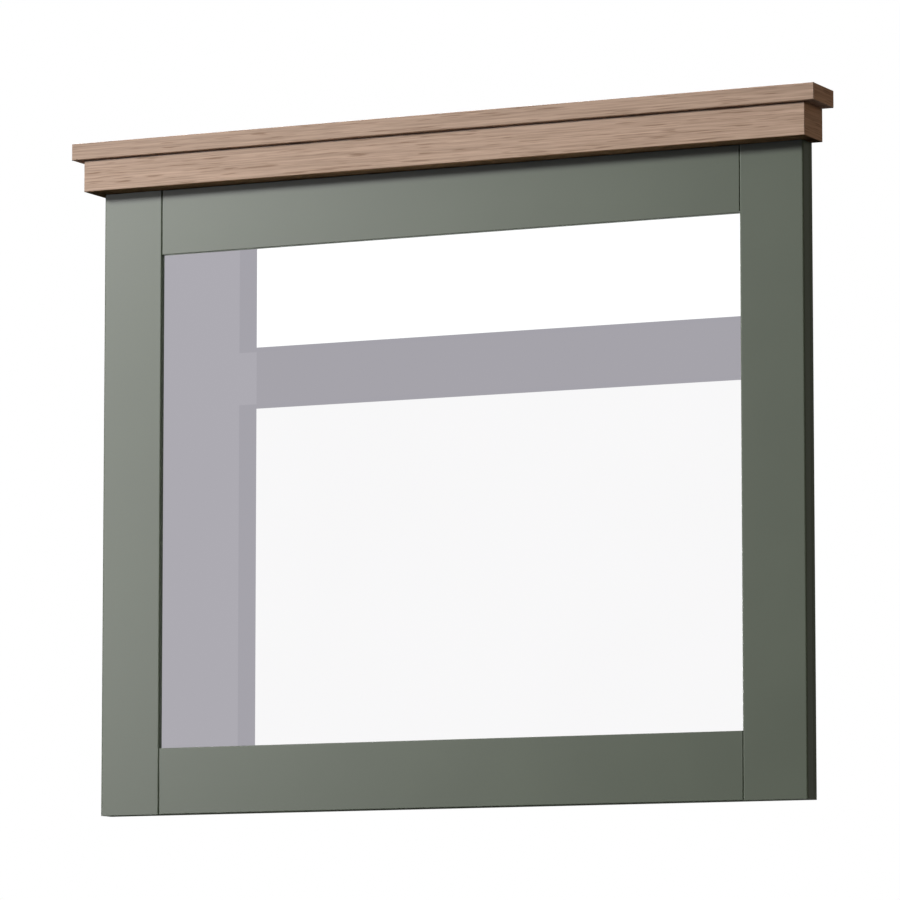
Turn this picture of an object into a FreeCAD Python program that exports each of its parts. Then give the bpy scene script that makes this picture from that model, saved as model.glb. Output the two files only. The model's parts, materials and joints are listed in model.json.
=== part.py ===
import FreeCAD, Part
import os

# A wall-hung hall mirror: a frame of two stiles and two rails round a silvered glass,
# a two-step cornice on top, and at the back a layer of battens that carries the hangers
# and leaves room for the turn buttons that hold the backing.
# Millimetres. +X is to the right as seen from the front, +Y towards the wall, +Z up.
# The origin is on the back plane, halfway between the two hanging keyholes.

Vector = FreeCAD.Vector

# Frame of stiles and rails
frame_width = 898.0
frame_height = 742.0
member_width = 78.0
member_thickness = 18.0
stile_arris = 2.0
rail_arris = 1.0

# Battens behind the frame
batten_width = 40.0
batten_thickness = 9.0

# Rebate in the frame and what stands in it, from the front lip backwards
lip_thickness = 4.0
rebate_width = 10.0
glass_thickness = 4.0
cushion_thickness = 2.0
cushion_inset = 4.0
pane_gap = 2.0
setting_block_length = 40.0
setting_block_inset = 180.0
setting_block_gap = 0.5

# Cornice: each step stands out past the one below it
fascia_height = 38.0
fascia_side = 13.0
fascia_front = 28.0
fascia_edging = 1.0
fascia_arris = 0.7
cap_height = 20.0
cap_side = 14.0
cap_front = 6.0
cap_edging = 2.0
cap_arris = 1.5
edging_round_share = 0.8

# Wooden dowels, all of one diameter
dowel_radius = 4.0
dowel_gap = 0.1
dowel_end_gap = 1.0
dowel_chamfer = 0.8
frame_dowel_length = 40.0
frame_dowel_inset = 20.0
frame_dowel_spacing = 30.0
fascia_dowel_length = 30.0
fascia_dowel_inset = 171.0
fascia_dowel_count = 3
cap_dowel_length = 30.0
cap_dowel_depth = 12.0
cap_dowel_inset = 42.0
cap_dowel_count = 5

# Countersunk screws of the battens and the hangers
flat_head_radius = 3.5
flat_head_height = 2.0
flat_shank_radius = 1.6
batten_screw_length = 22.0
hanger_screw_length = 20.0
stile_screw_inset = 60.0
stile_screw_count = 4
rail_screw_inset = 100.0
rail_screw_count = 4

# Long screws that hold the fascia, sunk below its top
fascia_head_radius = 4.5
fascia_head_height = 3.0
fascia_shank_radius = 2.5
fascia_screw_length = 70.0
fascia_screw_sink = 10.0
fascia_sink_room = 1.0

# Cross recess and point of every screw, and the dome of the pan heads as shares of the head
screw_gap = 0.05
recess_reach_share = 0.6
recess_width = 0.9
recess_depth = 1.2
point_length = 3.0
dome_shoulder_share = 0.75
dome_rim_share = 0.2

# Keyhole hanger plates, let in flush
hang_drop = 60.0
plate_width = 24.0
plate_height = 70.0
plate_thickness = 2.0
plate_corner = 3.0
plate_gap = 0.2
plate_screw_inset = 8.0
keyhole_rise = 30.0
keyhole_radius = 5.0
slot_radius = 2.5
slot_travel = 12.0
head_room = 2.0

# Turn buttons and the pan-head screws they swivel on
button_reach = 30.0
button_width = 13.0
button_thickness = 1.6
button_tip_height = 4.5
button_bend = 1.0
button_gap = 0.15
button_corner_inset = 150.0
pivot_gap = 0.05
pan_head_radius = 4.0
pan_head_height = 2.4
pan_shank_radius = 2.0
pan_screw_length = 14.0

# Felt pads
pad_radius = 8.0
pad_thickness = 1.5
pad_inset = 25.0

# Planes and edges that follow from the sizes above
overcut = 1.0
frame_back = -batten_thickness
frame_front = frame_back - member_thickness
frame_middle = frame_back - member_thickness / 2
top_z = hang_drop
bottom_z = top_z - frame_height
half_frame = frame_width / 2
half_opening = half_frame - member_width
opening_low = bottom_z + member_width
opening_high = top_z - member_width
half_rebate = half_opening + rebate_width
rebate_low = opening_low - rebate_width
rebate_high = opening_high + rebate_width
glass_front = frame_front + lip_thickness
glass_back = glass_front + glass_thickness
cushion_back = glass_back + cushion_thickness
half_pane = half_rebate - pane_gap
pane_low = rebate_low + pane_gap
pane_high = rebate_high - pane_gap
half_fascia = half_frame + fascia_side
fascia_face = frame_front - fascia_front
fascia_top = top_z + fascia_height
half_cap = half_fascia + cap_side
cap_face = fascia_face - cap_front
cap_top = fascia_top + cap_height
batten_inner = half_frame - batten_width
batten_middle = half_frame - batten_width / 2
plate_low = -keyhole_rise
plate_high = plate_low + plate_height
button_front = frame_back + button_gap
button_back = button_front + button_thickness
pan_seat = button_back + button_gap
ledge = member_width - batten_width - rebate_width
pivot_out = half_rebate + ledge / 2
pivot_high = rebate_high + ledge / 2
pivot_low = rebate_low - ledge / 2

BACKWARD = Vector(0, 1, 0)
FORWARD = Vector(0, -1, 0)
RIGHT = Vector(1, 0, 0)
UP = Vector(0, 0, 1)
DOWN = Vector(0, 0, -1)


def block(x_span, y_span, z_span):
    """A box between two values on each axis."""
    corner = Vector(x_span[0], y_span[0], z_span[0])
    size = [span[1] - span[0] for span in (x_span, y_span, z_span)]
    return Part.makeBox(*size, corner)


def rounded(shape, radius, wanted):
    """Round each edge whose two ends both pass the test."""
    edges = [e for e in shape.Edges if all(wanted(v.Point) for v in e.Vertexes)]
    return shape.makeFillet(radius, edges)


def on(value, plane):
    """Whether a coordinate lies on a plane."""
    return abs(value - plane) < 1e-6


def placed(shape, point, direction):
    """A copy whose own +Z runs from a point along a direction."""
    turn = FreeCAD.Rotation(UP, direction)
    return shape.transformed(FreeCAD.Placement(point, turn).toMatrix(), copy=True)


def drilled(shape, cutters):
    """The shape with every cutter that reaches it taken away, as one clean solid."""
    near = [c for c in cutters if c.BoundBox.intersect(shape.BoundBox)]
    result = shape.cut(near) if near else shape
    return result.removeSplitter().Solids[0]


def spread(first, last, count):
    """Evenly spaced values from first to last."""
    return [first + (last - first) * i / (count - 1) for i in range(count)]


def lathe(points):
    """Turn a closed outline of (radius, height) points about its own Z axis."""
    outline = [Vector(radius, 0, height) for radius, height in points]
    return Part.Face(Part.makePolygon(outline + outline[:1])).revolve(Vector(), UP, 360)


# Dowels and screws, each with the hole it needs

def dowel(start, direction, length):
    """A dowel with chamfered ends."""
    inner = dowel_radius - dowel_chamfer
    outline = [
        (0, 0), (inner, 0), (dowel_radius, dowel_chamfer),
        (dowel_radius, length - dowel_chamfer), (inner, length), (0, length),
    ]
    return placed(lathe(outline), start, direction)


def dowel_hole(start, direction, length):
    """The hole round a dowel, a little wider and longer than the dowel itself."""
    base = start - direction * dowel_end_gap
    return Part.makeCylinder(dowel_radius + dowel_gap, length + 2 * dowel_end_gap, base, direction)


def cross_recess(head_radius, top):
    """The cross-shaped socket in a screw head whose face is at a height."""
    reach = head_radius * recess_reach_share
    arm = block((-reach, reach), (-recess_width / 2, recess_width / 2), (top, top + recess_depth))
    other = arm.copy()
    other.rotate(Vector(), UP, 90)
    return arm.fuse(other)


def flat_screw(length):
    """A countersunk screw pointing along +Z, with the face of its head at zero."""
    outline = [
        (0, 0), (flat_head_radius, 0), (flat_shank_radius, flat_head_height),
        (flat_shank_radius, length - point_length), (0, length),
    ]
    return lathe(outline).cut(cross_recess(flat_head_radius, 0))


def flat_screw_hole(length):
    """The countersunk hole of such a screw, opened a little above the surface."""
    shank = flat_shank_radius + screw_gap
    head = flat_head_radius + screw_gap
    depth = length + screw_gap
    outline = [
        (0, -overcut), (head, -overcut), (head, 0),
        (shank, flat_head_height), (shank, depth), (0, depth),
    ]
    return lathe(outline)


def pan_screw(head_radius, head_height, shank_radius, length):
    """A domed screw pointing along +Z, with the underside of its head at zero."""
    crown = Vector(0, 0, -head_height)
    shoulder = Vector(dome_shoulder_share * head_radius, 0, -dome_shoulder_share * head_height)
    rim = Vector(head_radius, 0, -dome_rim_share * head_height)
    below = [(head_radius, 0), (shank_radius, 0), (shank_radius, length - point_length), (0, length)]
    corners = [rim] + [Vector(r, 0, z) for r, z in below] + [crown]
    dome = Part.Arc(crown, shoulder, rim).toShape()
    outline = Part.Wire([dome] + [Part.makeLine(a, b) for a, b in zip(corners, corners[1:])])
    body = Part.Face(outline).revolve(Vector(), UP, 360)
    return body.cut(cross_recess(head_radius, -head_height))


def pilot_hole(shank_radius, length):
    """The plain hole of a pan-head screw, from a little above its seat."""
    return Part.makeCylinder(shank_radius + screw_gap, length + overcut + screw_gap, Vector(0, 0, -overcut))


def frame_dowel_starts():
    """Inner ends of the dowels that cross the four frame joints, pointing to +X."""
    heights = []
    for row in range(2):
        offset = frame_dowel_inset + row * frame_dowel_spacing
        heights += [bottom_z + offset, top_z - offset]
    joints = (-half_opening, half_opening)
    half = frame_dowel_length / 2
    return [Vector(x - half, frame_middle, z) for x in joints for z in heights]


def fascia_dowel_starts():
    """Lower ends of the dowels between the top rail and the fascia."""
    low = top_z - fascia_dowel_length / 2
    half = half_opening - fascia_dowel_inset
    return [Vector(x, frame_middle, low) for x in spread(-half, half, fascia_dowel_count)]


def cap_dowel_starts():
    """Lower ends of the dowels between the fascia and the cap, along the middle of the fascia."""
    low = fascia_top + cap_dowel_depth - cap_dowel_length
    half = half_fascia - cap_dowel_inset
    return [Vector(x, fascia_face / 2, low) for x in spread(-half, half, cap_dowel_count)]


def fascia_screw_seats():
    """Seats of the long screws, over the middle of each stile."""
    across = half_frame - member_width / 2
    return [Vector(x, frame_middle, fascia_top - fascia_screw_sink) for x in (-across, across)]


def batten_screw_seats():
    """Head centres of the batten screws: up the stiles below the hangers, and along the rails."""
    heights = spread(bottom_z + stile_screw_inset, plate_low - stile_screw_inset, stile_screw_count)
    seats = [Vector(x, 0, z) for x in (-batten_middle, batten_middle) for z in heights]
    half = batten_inner - rail_screw_inset
    rows = (bottom_z + batten_width / 2, top_z - batten_width / 2)
    return seats + [Vector(x, 0, z) for z in rows for x in spread(-half, half, rail_screw_count)]


def hanger_screw_seats():
    """Head centres of the two screws in each hanger plate."""
    heights = (plate_low + plate_screw_inset, plate_high - plate_screw_inset)
    return [Vector(x, 0, z) for x in (-batten_middle, batten_middle) for z in heights]


def button_pivots():
    """Pivot of each turn button on the ledge beside the rebate, and the turn that points it inwards."""
    across = half_rebate - button_corner_inset
    upper = rebate_high - button_corner_inset
    lower = rebate_low + button_corner_inset
    return {
        "turn_button_left_upper": (-pivot_out, upper, 0),
        "turn_button_left_lower": (-pivot_out, lower, 0),
        "turn_button_right_upper": (pivot_out, upper, 180),
        "turn_button_right_lower": (pivot_out, lower, 180),
        "turn_button_top_left": (-across, pivot_high, 90),
        "turn_button_top_right": (across, pivot_high, 90),
        "turn_button_bottom_left": (-across, pivot_low, -90),
        "turn_button_bottom_right": (across, pivot_low, -90),
    }


def pan_screw_seats():
    """Seats of the turn-button screws, just behind the buttons."""
    return [Vector(x, pan_seat, z) for x, z, turn in button_pivots().values()]


def all_holes():
    """Every dowel hole, screw hole and counterbore in the wood."""
    holes = [dowel_hole(p, RIGHT, frame_dowel_length) for p in frame_dowel_starts()]
    holes += [dowel_hole(p, UP, fascia_dowel_length) for p in fascia_dowel_starts()]
    holes += [dowel_hole(p, UP, cap_dowel_length) for p in cap_dowel_starts()]
    holes += [placed(flat_screw_hole(batten_screw_length), p, FORWARD) for p in batten_screw_seats()]
    holes += [placed(flat_screw_hole(hanger_screw_length), p, FORWARD) for p in hanger_screw_seats()]
    holes += [placed(pilot_hole(pan_shank_radius, pan_screw_length), p, FORWARD) for p in pan_screw_seats()]
    sink = Part.makeCylinder(fascia_head_radius + fascia_sink_room, fascia_screw_sink)
    for seat in fascia_screw_seats():
        holes.append(placed(pilot_hole(fascia_shank_radius, fascia_screw_length), seat, DOWN))
        holes.append(placed(sink, seat, UP))
    return holes


# Frame and battens

def stile(x_span):
    """A stile with its long front edges rounded, before its rebate and holes are cut."""
    blank = block(x_span, (frame_front, frame_back), (bottom_z, top_z))
    upright = [e for e in blank.Edges if on(abs(e.tangentAt(e.FirstParameter).z), 1)]
    return blank.makeFillet(stile_arris, [e for e in upright if on(e.Vertexes[0].Point.y, frame_front)])


def rail(z_span):
    """A rail with all its front edges rounded, before its rebate and holes are cut."""
    blank = block((-half_opening, half_opening), (frame_front, frame_back), z_span)
    return rounded(blank, rail_arris, lambda p: on(p.y, frame_front))


def frame_nodes(holes):
    """The two stiles and two rails, with the rebate for the glass cut round the opening."""
    depth = (glass_front, frame_back + overcut)
    rebate = block((-half_rebate, half_rebate), depth, (rebate_low, rebate_high))
    blanks = {
        "left_stile": stile((-half_frame, -half_opening)),
        "right_stile": stile((half_opening, half_frame)),
        "top_rail": rail((opening_high, top_z)),
        "bottom_rail": rail((bottom_z, opening_low)),
    }
    return {name: drilled(blank, [rebate] + holes) for name, blank in blanks.items()}


def plate_block(x, margin, back):
    """A block of the hanger plate's outline with a margin, from its front face to a back plane."""
    half = plate_width / 2 + margin
    spans = (x - half, x + half), (-plate_thickness, back), (plate_low - margin, plate_high + margin)
    corners = plate_corner + margin
    solid = block(*spans)
    upright = [e for e in solid.Edges if on(abs(e.tangentAt(e.FirstParameter).y), 1)]
    return solid.makeFillet(corners, upright)


def hung_slot(x, radius, top_radius, y_span):
    """A slot from the keyhole's entry up to where the wall screw comes to rest."""
    start, end = y_span
    depth = end - start
    entry = Part.makeCylinder(radius, depth, Vector(x, start, 0), BACKWARD)
    rest = Part.makeCylinder(top_radius, depth, Vector(x, start, slot_travel), BACKWARD)
    neck = block((x - top_radius, x + top_radius), y_span, (0, slot_travel))
    return entry.fuse([rest, neck]).removeSplitter()


def batten_nodes(holes):
    """The four battens: the upright ones hold the hanger plates, with room behind for a screw head."""
    depth = (frame_back, 0)
    pocket = keyhole_radius + head_room
    pocket_depth = (frame_back - overcut, overcut)
    recesses = []
    for x in (-batten_middle, batten_middle):
        recesses.append(plate_block(x, plate_gap, overcut))
        recesses.append(hung_slot(x, pocket, pocket, pocket_depth))
    blanks = {
        "left_batten": block((-half_frame, -batten_inner), depth, (bottom_z, top_z)),
        "right_batten": block((batten_inner, half_frame), depth, (bottom_z, top_z)),
        "top_batten": block((-batten_inner, batten_inner), depth, (top_z - batten_width, top_z)),
        "bottom_batten": block((-batten_inner, batten_inner), depth, (bottom_z, bottom_z + batten_width)),
    }
    return {name: drilled(blank, recesses + holes) for name, blank in blanks.items()}


# What stands in the rebate

def pane_nodes():
    """The glass, its cushion, the backing flush with the frame's back, and the blocks below them."""
    cushion_x = half_pane - cushion_inset
    cushion_z = (pane_low + cushion_inset, pane_high - cushion_inset)
    block_depth = (glass_front + setting_block_gap, frame_back - setting_block_gap)
    blocks = []
    for x in (-half_rebate + setting_block_inset, half_rebate - setting_block_inset):
        half = setting_block_length / 2
        blocks.append(block((x - half, x + half), block_depth, (rebate_low, pane_low)))
    return {
        "mirror_glass": block((-half_pane, half_pane), (glass_front, glass_back), (pane_low, pane_high)),
        "cushion_sheet": block((-cushion_x, cushion_x), (glass_back, cushion_back), cushion_z),
        "backing_board": block((-half_pane, half_pane), (cushion_back, frame_back), (pane_low, pane_high)),
        "setting_blocks": Part.makeCompound(blocks),
    }


# Cornice

def step_nodes(name, half_width, face, z_span, edging, arris, holes):
    """One step of the cornice: a board with edging strips on its front and its two ends."""
    core_x = half_width - edging
    core_front = face + edging
    radius = min(arris, edging_round_share * edging)
    front = block((-half_width, half_width), (face, core_front), z_span)
    nodes = {
        f"{name}_board": drilled(block((-core_x, core_x), (core_front, 0), z_span), holes),
        f"{name}_front_edging": rounded(front, radius, lambda p: on(p.y, face)),
    }
    for side, sign in (("left", -1), ("right", 1)):
        outer = sign * half_width
        strip = block(sorted((sign * core_x, outer)), (core_front, 0), z_span)
        edges = []
        for edge in strip.Edges:
            points = [v.Point for v in edge.Vertexes]
            outside = all(on(p.x, outer) for p in points)
            if outside and not all(on(p.y, core_front) for p in points):
                edges.append(edge)
        nodes[f"{name}_{side}_edging"] = strip.makeFillet(radius, edges)
    return nodes


def cornice_nodes(holes):
    """The fascia on top of the frame, and the wider cap on top of the fascia."""
    fascia_z = (top_z, fascia_top)
    cap_z = (fascia_top, cap_top)
    fascia = step_nodes("fascia", half_fascia, fascia_face, fascia_z, fascia_edging, fascia_arris, holes)
    cap = step_nodes("cap", half_cap, cap_face, cap_z, cap_edging, cap_arris, holes)
    return {**fascia, **cap}


# Hardware

def hanger_nodes(holes):
    """The two keyhole plates."""
    plates = {}
    for name, x in (("left_hanger_plate", -batten_middle), ("right_hanger_plate", batten_middle)):
        keyhole = hung_slot(x, keyhole_radius, slot_radius, (-plate_thickness - overcut, overcut))
        plates[name] = drilled(plate_block(x, 0, 0), [keyhole] + holes)
    return plates


def turn_button():
    """A pressed button that points to +X from its pivot, with its tip turned up for a finger."""
    half = button_width / 2
    outer = button_bend + button_thickness
    inner_x = button_reach - button_thickness
    bend_x = button_reach - outer
    diagonal = 2 ** -0.5
    under_bend = Vector(bend_x + outer * diagonal, outer - outer * diagonal, 0)
    upper_bend = Vector(bend_x + button_bend * diagonal, outer - button_bend * diagonal, 0)
    tail_low = Vector(-half, 0, 0)
    tail_high = Vector(-half, button_thickness, 0)
    low = Vector(bend_x, 0, 0)
    high = Vector(bend_x, button_thickness, 0)
    rise_out = Vector(button_reach, outer, 0)
    rise_in = Vector(inner_x, outer, 0)
    tip_out = Vector(button_reach, button_tip_height, 0)
    tip_in = Vector(inner_x, button_tip_height, 0)
    outline = Part.Wire([
        Part.makeLine(tail_low, low),
        Part.Arc(low, under_bend, rise_out).toShape(),
        Part.makeLine(rise_out, tip_out),
        Part.makeLine(tip_out, tip_in),
        Part.makeLine(tip_in, rise_in),
        Part.Arc(rise_in, upper_bend, high).toShape(),
        Part.makeLine(high, tail_high),
        Part.makeLine(tail_high, tail_low),
    ])
    strip = Part.Face(outline).extrude(UP * button_width)
    strip.translate(DOWN * half)
    tail = Part.makeCylinder(half, button_tip_height, Vector(), BACKWARD)
    tongue = block((0, button_reach), (0, button_tip_height), (-half, half))
    hole = Part.makeCylinder(pan_shank_radius + pivot_gap, button_thickness, Vector(), BACKWARD)
    return strip.common(tail.fuse(tongue)).cut(hole).removeSplitter().Solids[0]


def button_nodes():
    """Each turn button on its pivot, pointing across the edge of the backing."""
    pattern = turn_button()
    nodes = {}
    for name, (x, z, turn) in button_pivots().items():
        place = FreeCAD.Placement(Vector(x, button_front, z), FreeCAD.Rotation(BACKWARD, turn))
        nodes[name] = pattern.transformed(place.toMatrix(), copy=True)
    return nodes


def fastener_nodes():
    """Dowels, screws and pads, as groups of separate solids."""
    batten_screw = flat_screw(batten_screw_length)
    hanger_screw = flat_screw(hanger_screw_length)
    button_screw = pan_screw(pan_head_radius, pan_head_height, pan_shank_radius, pan_screw_length)
    long_screw = pan_screw(fascia_head_radius, fascia_head_height, fascia_shank_radius, fascia_screw_length)
    pad_x = batten_inner - pad_inset
    pad_z = (bottom_z + batten_width / 2, top_z - batten_width / 2)
    pads = [Vector(x, 0, z) for x in (-pad_x, pad_x) for z in pad_z]
    groups = {
        "frame_dowels": [dowel(p, RIGHT, frame_dowel_length) for p in frame_dowel_starts()],
        "fascia_dowels": [dowel(p, UP, fascia_dowel_length) for p in fascia_dowel_starts()],
        "cap_dowels": [dowel(p, UP, cap_dowel_length) for p in cap_dowel_starts()],
        "batten_screws": [placed(batten_screw, p, FORWARD) for p in batten_screw_seats()],
        "hanger_screws": [placed(hanger_screw, p, FORWARD) for p in hanger_screw_seats()],
        "turn_button_screws": [placed(button_screw, p, FORWARD) for p in pan_screw_seats()],
        "fascia_screws": [placed(long_screw, p, DOWN) for p in fascia_screw_seats()],
        "wall_pads": [Part.makeCylinder(pad_radius, pad_thickness, p, BACKWARD) for p in pads],
    }
    return {name: Part.makeCompound(solids) for name, solids in groups.items()}


def main():
    """Build every node and write each to its own file."""
    holes = all_holes()
    nodes = {
        **frame_nodes(holes),
        **batten_nodes(holes),
        **pane_nodes(),
        **cornice_nodes(holes),
        **hanger_nodes(holes),
        **button_nodes(),
        **fastener_nodes(),
    }
    os.makedirs("parts", exist_ok=True)
    for name, shape in nodes.items():
        shape.exportStep(os.path.join("parts", f"{name}.step"))
        print(name, len(shape.Solids), "solids", round(shape.Volume), "mm3", "valid", shape.isValid())


main()
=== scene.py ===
"""Looks of a wall-hung hall mirror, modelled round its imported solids.

Metres. +X is to the right as seen from the front, +Y towards the wall, +Z up.
"""

import json
import logging
import math
from dataclasses import dataclass, field
from enum import Enum
from typing import Callable, Optional, Sequence, Union

import bmesh
import bpy
from mathutils import Matrix, Vector


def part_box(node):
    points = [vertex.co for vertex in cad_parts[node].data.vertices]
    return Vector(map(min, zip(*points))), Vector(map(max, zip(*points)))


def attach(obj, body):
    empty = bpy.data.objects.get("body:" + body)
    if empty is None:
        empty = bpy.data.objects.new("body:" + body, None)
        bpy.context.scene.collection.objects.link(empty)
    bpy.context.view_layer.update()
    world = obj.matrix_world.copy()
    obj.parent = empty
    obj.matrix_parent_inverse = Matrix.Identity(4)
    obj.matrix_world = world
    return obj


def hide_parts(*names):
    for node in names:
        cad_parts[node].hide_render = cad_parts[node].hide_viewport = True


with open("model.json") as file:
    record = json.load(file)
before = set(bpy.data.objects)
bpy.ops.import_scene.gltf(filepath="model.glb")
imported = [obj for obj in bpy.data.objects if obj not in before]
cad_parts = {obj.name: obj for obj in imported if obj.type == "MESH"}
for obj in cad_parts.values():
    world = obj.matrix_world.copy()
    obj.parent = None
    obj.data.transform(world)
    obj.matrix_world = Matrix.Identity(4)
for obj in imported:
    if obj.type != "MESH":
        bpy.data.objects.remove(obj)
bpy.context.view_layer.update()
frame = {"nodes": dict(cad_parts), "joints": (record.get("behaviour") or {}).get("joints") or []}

# Lengths are in metres and angles in radians; FACING and ALONG are cosines, and UPRIGHT stands a face up
MM = 0.001
NEAR = 1e-6
MERGE = 1e-5
SHARP = math.radians(60.0)
CREASE = math.radians(35.0)
FLAT = 0.01
FACING = 0.5
ALONG = 0.999
UPRIGHT = Matrix.Rotation(math.radians(90.0), 4, "X")
FIXED_BODY = "mirror"

Colour = tuple[float, float, float]
Triple = tuple[float, float, float]
Span = tuple[float, float]
Operand = Union["Value", float]
EdgeTest = Callable[[bmesh.types.BMEdge], bool]

log = logging.getLogger("hall_mirror")


class Grain(Enum):
    """Way that the grain of a board or strip runs."""

    ACROSS = "across"
    DEEP = "deep"


class Axis(Enum):
    """Axis of the shared frame."""

    X = 0
    Y = 1
    Z = 2


class BoardFace(Enum):
    """Number of a finish on a piece of the cornice."""

    FRONT = 0
    # Downward faces, whose finish is darkened: painted shade
    SHADED_UNDER = 1
    RAW = 2


class PanelPart(Enum):
    """Number of a finish on the light panel."""

    UPRIGHT_BAR = 0
    RIM = 1
    UPPER_PANE = 2
    LOWER_PANE = 3
    CROSS_BAR = 4


# Shader nodes

class Value:
    """A socket that takes part in Python arithmetic."""

    def __init__(self, sheet: "NodeSheet", socket: bpy.types.NodeSocket) -> None:
        """Keep the socket and the sheet that it is on."""
        self.sheet = sheet
        self.socket = socket

    def __add__(self, other: Operand) -> "Value":
        """Sum of two values."""
        return self.sheet.math("ADD", self, other)

    __radd__ = __add__

    def __sub__(self, other: Operand) -> "Value":
        """Difference of two values."""
        return self.sheet.math("SUBTRACT", self, other)

    def __rsub__(self, other: float) -> "Value":
        """Difference of a number and a value."""
        return self.sheet.math("SUBTRACT", other, self)

    def __mul__(self, other: Operand) -> "Value":
        """Product of two values."""
        return self.sheet.math("MULTIPLY", self, other)

    __rmul__ = __mul__

    def __pow__(self, power: float) -> "Value":
        """Power of a value."""
        return self.sheet.math("POWER", self, power)


class NodeSheet:
    """A node tree that is filled one node at a time."""

    def __init__(self, tree: bpy.types.NodeTree) -> None:
        """Empty the tree."""
        self.tree = tree
        tree.nodes.clear()

    def node(self, kind: str, settings: Optional[dict] = None,
             sockets: Optional[dict] = None) -> bpy.types.Node:
        """Add a node.

        Args:
            kind: Blender's name of the node's type.
            settings: Properties of the node.
            sockets: Values or links of its inputs, by name or place.

        Returns:
            The node.
        """
        made = self.tree.nodes.new(kind)
        for name, setting in (settings or {}).items():
            setattr(made, name, setting)
        for key, given in (sockets or {}).items():
            if isinstance(given, Value):
                self.tree.links.new(given.socket, made.inputs[key])
            else:
                made.inputs[key].default_value = given
        return made

    def value(self, node: bpy.types.Node, output: Union[int, str] = 0) -> Value:
        """One output of a node, ready for arithmetic."""
        return Value(self, node.outputs[output])

    def math(self, operation: str, first: Operand, second: Operand = 0.0, clamp: bool = False) -> Value:
        """Add a Math node.

        Args:
            operation: Blender's name of the operation.
            first: First operand.
            second: Second operand.
            clamp: Whether the result is held between 0 and 1.

        Returns:
            The result.
        """
        settings = {"operation": operation, "use_clamp": clamp}
        return self.value(self.node("ShaderNodeMath", settings, {0: first, 1: second}))

    def smooth(self, value: Value, low: float, high: float) -> Value:
        """Smooth step of a value.

        Args:
            value: What is mapped.
            low: Where the step starts.
            high: Where it ends; below the start for a falling step.

        Returns:
            A value from 0 to 1.
        """
        settings = {"interpolation_type": "SMOOTHSTEP"}
        sockets = {"Value": value, "From Min": low, "From Max": high}
        return self.value(self.node("ShaderNodeMapRange", settings, sockets))

    def between(self, share: Value, low: float, high: float) -> Value:
        """A value that goes from low to high as a share goes from 0 to 1."""
        return share * (high - low) + low

    def place(self, cells: Union[float, Triple] = 1.0, turn: Triple = (0.0, 0.0, 0.0)) -> Value:
        """Object coordinates, stretched and turned.

        Args:
            cells: Cells to the metre, along each axis or along all alike.
            turn: Turn about each axis in degrees, after the stretch.

        Returns:
            The coordinates.
        """
        at = self.value(self.node("ShaderNodeTexCoord"), "Object")
        angles = tuple(math.radians(angle) for angle in turn)
        scale = cells if isinstance(cells, tuple) else (cells, cells, cells)
        sockets = {"Vector": at, "Rotation": angles, "Scale": scale}
        return self.value(self.node("ShaderNodeMapping", None, sockets))

    def noise(self, at: Value, detail: float = 2.0, roughness: float = 0.5, warp: float = 0.0) -> Value:
        """Soft noise.

        Args:
            at: Where it is read.
            detail: Number of finer octaves.
            roughness: Strength of each finer octave.
            warp: How much it is distorted.

        Returns:
            A value about 0.5.
        """
        sockets = {"Vector": at, "Scale": 1.0, "Detail": detail}
        sockets.update({"Roughness": roughness, "Distortion": warp})
        return self.value(self.node("ShaderNodeTexNoise", None, sockets))

    def cells(self, at: Value) -> Value:
        """Distance to the middle of the nearest of scattered cells."""
        sockets = {"Vector": at, "Scale": 1.0}
        return self.value(self.node("ShaderNodeTexVoronoi", {"feature": "F1"}, sockets), "Distance")

    def mix(self, share: Operand, first: Union[Value, Colour], second: Union[Value, Colour]) -> Value:
        """Mix two colours.

        Args:
            share: How much of the second is taken.
            first: First colour.
            second: Second colour.

        Returns:
            The mixed colour.
        """
        settings = {"data_type": "RGBA", "blend_type": "MIX", "clamp_result": False}
        sockets = {0: share}
        for key, given in ((6, first), (7, second)):
            sockets[key] = given if isinstance(given, Value) else (*given, 1.0)
        return self.value(self.node("ShaderNodeMix", settings, sockets), 2)

    def attribute(self, name: str) -> Value:
        """A number stored on the mesh, and 0 where the mesh has none."""
        return self.value(self.node("ShaderNodeAttribute", {"attribute_name": name}), "Fac")

    def ray(self, kind: str) -> Value:
        """What Blender's Light Path node says of a ray."""
        return self.value(self.node("ShaderNodeLightPath"), kind)

    def sent_on(self) -> Value:
        """1 on a ray that a glossy or clear surface sends on, and 0 on any other."""
        return self.math("MAXIMUM", self.ray("Is Glossy Ray"), self.ray("Is Transmission Ray"))

    def before_matt(self) -> Value:
        """1 on a light path that has met no matt surface yet, and 0 on any other."""
        return self.math("LESS_THAN", self.ray("Diffuse Depth"), 0.5)

    def blend(self, share: Value, first: Value, second: Value) -> Value:
        """Mix two shaders."""
        return self.value(self.node("ShaderNodeMixShader", None, {0: share, 1: first, 2: second}))

    def surface(self, base: Value, rough: Value, relief: Optional[Value] = None, depth: float = 0.0,
                **more: float) -> None:
        """Finish the material with one shader.

        Args:
            base: Its colour.
            rough: Its roughness.
            relief: Height from 0 to 1, or None for a flat face.
            depth: Depth of a full step of the relief in metres.
            **more: Other inputs of the shader, with _ for each space in their names.
        """
        sockets = {"Base Color": base, "Roughness": rough}
        sockets.update({key.replace("_", " "): given for key, given in more.items()})
        if relief is not None:
            raised = {"Strength": 1.0, "Distance": depth, "Height": relief}
            sockets["Normal"] = self.value(self.node("ShaderNodeBump", None, raised))
        shader = self.value(self.node("ShaderNodeBsdfPrincipled", None, sockets))
        self.node("ShaderNodeOutputMaterial", None, {"Surface": shader})


# Finishes

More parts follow.
